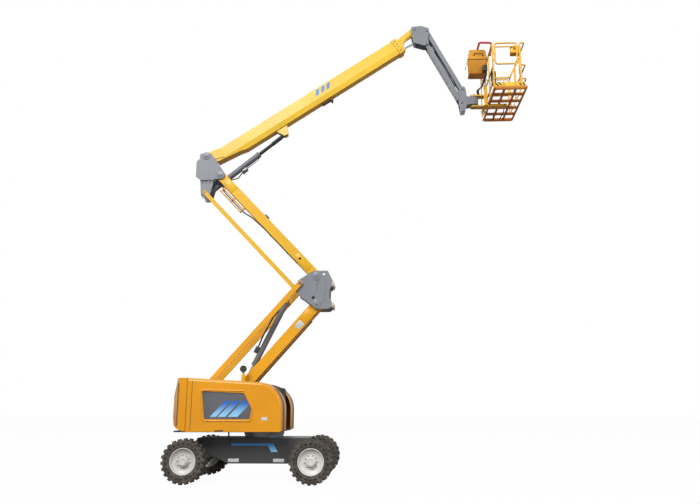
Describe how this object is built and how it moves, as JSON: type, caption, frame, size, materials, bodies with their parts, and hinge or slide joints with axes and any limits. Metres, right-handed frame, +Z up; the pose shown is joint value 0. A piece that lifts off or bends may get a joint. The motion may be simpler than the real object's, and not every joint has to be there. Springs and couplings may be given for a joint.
{
  "type": "articulating boom lift",
  "caption": "Articulating boom lift: wheeled chassis, slewing turntable, double-parallelogram tower, telescoping main boom and levelled jib that carry a railed work platform.",
  "frame": {"origin": "on the ground, on the centreline, midway between the axles", "axes": "+X from the steered end towards the platform, +Y to the far side of the picture, +Z up"},
  "size_m": [8.0819, 2.49, 11.051],
  "materials": {
    "amber_paint": "gloss",
    "boom_paint": "gloss",
    "blue_grey_paint": "satin",
    "charcoal_paint": "satin",
    "counterweight_iron": "painted",
    "rim_paint": "satin",
    "tyre_rubber": "matte",
    "rod_chrome": "polished",
    "ring_steel": "machined",
    "hood_plastic": "gloss",
    "panel_plastic": "matte",
    "tank_plastic": "matte",
    "engine_alloy": "cast",
    "console_plastic": "matte",
    "pad_foam": "soft"
  },
  "bodies": {
    "chassis": {"chassis_frame": "charcoal_paint", "chassis_deck": "charcoal_paint", "fixed_axle": "charcoal_paint", "steer_axle": "charcoal_paint", "steer_cylinder": "ring_steel", "slew_lock": "charcoal_paint", "slew_ring_lower": "ring_steel"},
    "steer_knuckle_left": {"steer_knuckle_left": "charcoal_paint"},
    "steer_knuckle_right": {"steer_knuckle_right": "charcoal_paint"},
    "turntable": {"slew_ring_upper": "ring_steel", "turntable_frame": "charcoal_paint", "counterweight": "counterweight_iron", "power_pack": "engine_alloy", "tank": "tank_plastic", "beacon_stand": "amber_paint", "beacon_lamp": "panel_plastic"},
    "wheel_fixed_left": {"tyre_fixed_left": "tyre_rubber", "rim_fixed_left": "rim_paint"},
    "wheel_fixed_right": {"tyre_fixed_right": "tyre_rubber", "rim_fixed_right": "rim_paint"},
    "wheel_steer_left": {"tyre_steer_left": "tyre_rubber", "rim_steer_left": "rim_paint"},
    "wheel_steer_right": {"tyre_steer_right": "tyre_rubber", "rim_steer_right": "rim_paint"},
    "hood_left": {"hood_left": "hood_plastic", "hood_panel_left": "panel_plastic", "hood_band_left": "panel_plastic"},
    "hood_right": {"hood_right": "hood_plastic", "hood_panel_right": "panel_plastic", "hood_band_right": "panel_plastic"},
    "lower_riser": {"lower_riser": "amber_paint"},
    "lower_link": {"lower_link": "amber_paint"},
    "lower_knuckle": {"lower_knuckle": "blue_grey_paint"},
    "upper_riser": {"upper_riser": "amber_paint"},
    "upper_link": {"upper_link": "amber_paint"},
    "upper_knuckle": {"upper_knuckle": "blue_grey_paint"},
    "boom_base": {"boom_base": "boom_paint"},
    "boom_fly": {"boom_fly": "boom_paint"},
    "jib_head": {"jib_head": "blue_grey_paint"},
    "jib_boom": {"jib_boom": "blue_grey_paint"},
    "jib_link": {"jib_link": "blue_grey_paint"},
    "jib_end": {"jib_end": "blue_grey_paint"},
    "platform": {"platform_support": "boom_paint", "platform_floor": "boom_paint", "platform_toe_boards": "boom_paint", "platform_rail_inner": "boom_paint", "platform_rail_outer": "boom_paint", "platform_rail_end": "boom_paint", "control_console": "console_plastic", "safety_bar": "pad_foam"},
    "gate": {"platform_gate": "boom_paint"},
    "tower_barrel": {"tower_cylinder_barrel": "blue_grey_paint"},
    "tower_rod": {"tower_cylinder_rod": "rod_chrome"},
    "lift_barrel": {"lift_cylinder_barrel": "blue_grey_paint"},
    "lift_rod": {"lift_cylinder_rod": "rod_chrome"},
    "jib_barrel": {"jib_cylinder_barrel": "blue_grey_paint"},
    "jib_rod": {"jib_cylinder_rod": "rod_chrome"},
    "level_barrel": {"level_cylinder_barrel": "blue_grey_paint"},
    "level_rod": {"level_cylinder_rod": "rod_chrome"}
  },
  "joints": [
    {"name": "slew", "type": "hinge", "parent": "chassis", "child": "turntable", "pos_m": [0.15, 0, 0.97], "axis": [0, 0, 1], "continuous": true},
    {"name": "roll_fixed_left", "type": "hinge", "parent": "chassis", "child": "wheel_fixed_left", "pos_m": [1.325, 1.067, 0.457], "axis": [0, 1, 0], "continuous": true},
    {"name": "roll_fixed_right", "type": "hinge", "parent": "chassis", "child": "wheel_fixed_right", "pos_m": [1.325, -1.067, 0.457], "axis": [0, 1, 0], "continuous": true},
    {"name": "roll_steer_left", "type": "hinge", "parent": "steer_knuckle_left", "child": "wheel_steer_left", "pos_m": [-1.325, 1.067, 0.457], "axis": [0, 1, 0], "continuous": true},
    {"name": "roll_steer_right", "type": "hinge", "parent": "steer_knuckle_right", "child": "wheel_steer_right", "pos_m": [-1.325, -1.067, 0.457], "axis": [0, 1, 0], "continuous": true},
    {"name": "steer_left", "type": "hinge", "parent": "chassis", "child": "steer_knuckle_left", "pos_m": [-1.325, 0.8, 0.457], "axis": [0, 0, 1], "range_deg": [-35, 35]},
    {"name": "steer_right", "type": "hinge", "parent": "chassis", "child": "steer_knuckle_right", "pos_m": [-1.325, -0.8, 0.457], "axis": [0, 0, 1], "range_deg": [-35, 35]},
    {"name": "hood_left_open", "type": "hinge", "parent": "turntable", "child": "hood_left", "pos_m": [-0.6105, 0.42, 2.087], "axis": [0.9983, 0, -0.0591], "range_deg": [0, 55]},
    {"name": "hood_right_open", "type": "hinge", "parent": "turntable", "child": "hood_right", "pos_m": [-0.6105, -0.42, 2.087], "axis": [-0.9983, 0, 0.0591], "range_deg": [0, 55]},
    {"name": "tower", "type": "hinge", "parent": "turntable", "child": "lower_riser", "pos_m": [-0.985, 0, 1.27], "axis": [0, -1, 0], "range_deg": [-47, 27]},
    {"name": "lower_link_turn", "type": "hinge", "parent": "turntable", "child": "lower_link", "pos_m": [-1.365, 0, 1.757], "axis": [0, -1, 0], "range_deg": [-47, 27]},
    {"name": "lower_knuckle_level", "type": "hinge", "parent": "lower_riser", "child": "lower_knuckle", "pos_m": [1.31429, 0, 3.86888], "axis": [0, 1, 0], "range_deg": [-47, 27]},
    {"name": "upper_riser_turn", "type": "hinge", "parent": "lower_knuckle", "child": "upper_riser", "pos_m": [1.31429, 0, 4.52488], "axis": [0, 1, 0], "range_deg": [-47, 27]},
    {"name": "upper_link_turn", "type": "hinge", "parent": "lower_knuckle", "child": "upper_link", "pos_m": [0.94429, 0, 4.09488], "axis": [0, 1, 0], "range_deg": [-47, 27]},
    {"name": "upper_knuckle_level", "type": "hinge", "parent": "upper_riser", "child": "upper_knuckle", "pos_m": [-1.07098, 0, 7.05607], "axis": [0, -1, 0], "range_deg": [-47, 27]},
    {"name": "boom_lift", "type": "hinge", "parent": "upper_knuckle", "child": "boom_base", "pos_m": [-1.44498, 0, 7.55907], "axis": [0, -1, 0], "range_deg": [-32.4, 38.6]},
    {"name": "telescope", "type": "slide", "parent": "boom_base", "child": "boom_fly", "axis": [0.8348, 0, 0.5505], "range_m": [0, 3.9]},
    {"name": "head_level", "type": "hinge", "parent": "boom_fly", "child": "jib_head", "pos_m": [3.72272, 0, 10.96655], "axis": [0, 1, 0], "range_deg": [-32.4, 38.6]},
    {"name": "jib_lift", "type": "hinge", "parent": "jib_head", "child": "jib_boom", "pos_m": [4.03272, 0, 10.55855], "axis": [0, -1, 0], "range_deg": [-6.65, 123.35]},
    {"name": "jib_link_turn", "type": "hinge", "parent": "jib_head", "child": "jib_link", "pos_m": [4.04772, 0, 10.91655], "axis": [0, -1, 0], "range_deg": [-6.65, 123.35]},
    {"name": "jib_end_level", "type": "hinge", "parent": "jib_boom", "child": "jib_end", "pos_m": [4.85893, 0, 8.91223], "axis": [0, 1, 0], "range_deg": [-6.65, 123.35]},
    {"name": "platform_turn", "type": "hinge", "parent": "jib_end", "child": "platform", "pos_m": [5.15293, 0, 8.96223], "axis": [0, 0, 1], "range_deg": [-80, 80]},
    {"name": "gate_swing", "type": "hinge", "parent": "platform", "child": "gate", "pos_m": [6.23093, 0.896, 9.46723], "axis": [0, 0, 1], "range_deg": [0, 88]},
    {"name": "tower_cylinder_tilt", "type": "hinge", "parent": "lower_link", "child": "tower_barrel", "pos_m": [0.58973, 0, 3.96642], "axis": [0, -1, 0], "range_deg": [-1.64, 2.84]},
    {"name": "tower_cylinder_stroke", "type": "slide", "parent": "tower_barrel", "child": "tower_rod", "axis": [-0.4408, 0, -0.8976], "range_m": [-0.45987, 0.26439]},
    {"name": "lift_cylinder_tilt", "type": "hinge", "parent": "upper_knuckle", "child": "lift_barrel", "pos_m": [-1.44098, 0, 6.62607], "axis": [0, -1, 0], "range_deg": [-24.16, 28.78]},
    {"name": "lift_cylinder_stroke", "type": "slide", "parent": "lift_barrel", "child": "lift_rod", "axis": [0.7732, 0, 0.6342], "range_m": [-0.38503, 0.45861]},
    {"name": "jib_cylinder_tilt", "type": "hinge", "parent": "jib_head", "child": "jib_barrel", "pos_m": [4.03272, 0, 10.55855], "axis": [0, -1, 0], "range_deg": [-6.56, 121.27]},
    {"name": "jib_cylinder_stroke", "type": "slide", "parent": "jib_barrel", "child": "jib_rod", "axis": [0.5467, 0, -0.8373], "range_m": [-0.03432, 0.62784]},
    {"name": "level_cylinder_tilt", "type": "hinge", "parent": "boom_fly", "child": "level_barrel", "pos_m": [2.83385, 0, 10.15285], "axis": [0, -1, 0], "range_deg": [-1.96, 2.34]},
    {"name": "level_cylinder_stroke", "type": "slide", "parent": "level_barrel", "child": "level_rod", "axis": [0.8849, 0, 0.4658], "range_m": [-0.1824, 0.15318]}
  ],
  "couplings": [
    {"joint": "steer_right", "follows": "steer_left", "ratio": 1},
    {"joint": "lower_link_turn", "follows": "tower", "ratio": 1},
    {"joint": "lower_knuckle_level", "follows": "tower", "ratio": 1},
    {"joint": "upper_riser_turn", "follows": "tower", "ratio": 1},
    {"joint": "upper_link_turn", "follows": "tower", "ratio": 1},
    {"joint": "upper_knuckle_level", "follows": "tower", "ratio": 1},
    {"joint": "head_level", "follows": "boom_lift", "ratio": 1},
    {"joint": "jib_link_turn", "follows": "jib_lift", "ratio": 1},
    {"joint": "jib_end_level", "follows": "jib_lift", "ratio": 1},
    {"joint": "tower_cylinder_tilt", "follows": "tower", "ratio": -0.06},
    {"joint": "tower_cylinder_stroke", "follows": "tower", "m_per_rad": 0.56},
    {"joint": "lift_cylinder_tilt", "follows": "boom_lift", "ratio": 0.745},
    {"joint": "lift_cylinder_stroke", "follows": "boom_lift", "m_per_rad": 0.68},
    {"joint": "jib_cylinder_tilt", "follows": "jib_lift", "ratio": 0.983},
    {"joint": "jib_cylinder_stroke", "follows": "jib_lift", "m_per_rad": 0.2914},
    {"joint": "level_cylinder_tilt", "follows": "boom_lift", "ratio": 0.06},
    {"joint": "level_cylinder_stroke", "follows": "boom_lift", "m_per_rad": -0.27}
  ]
}
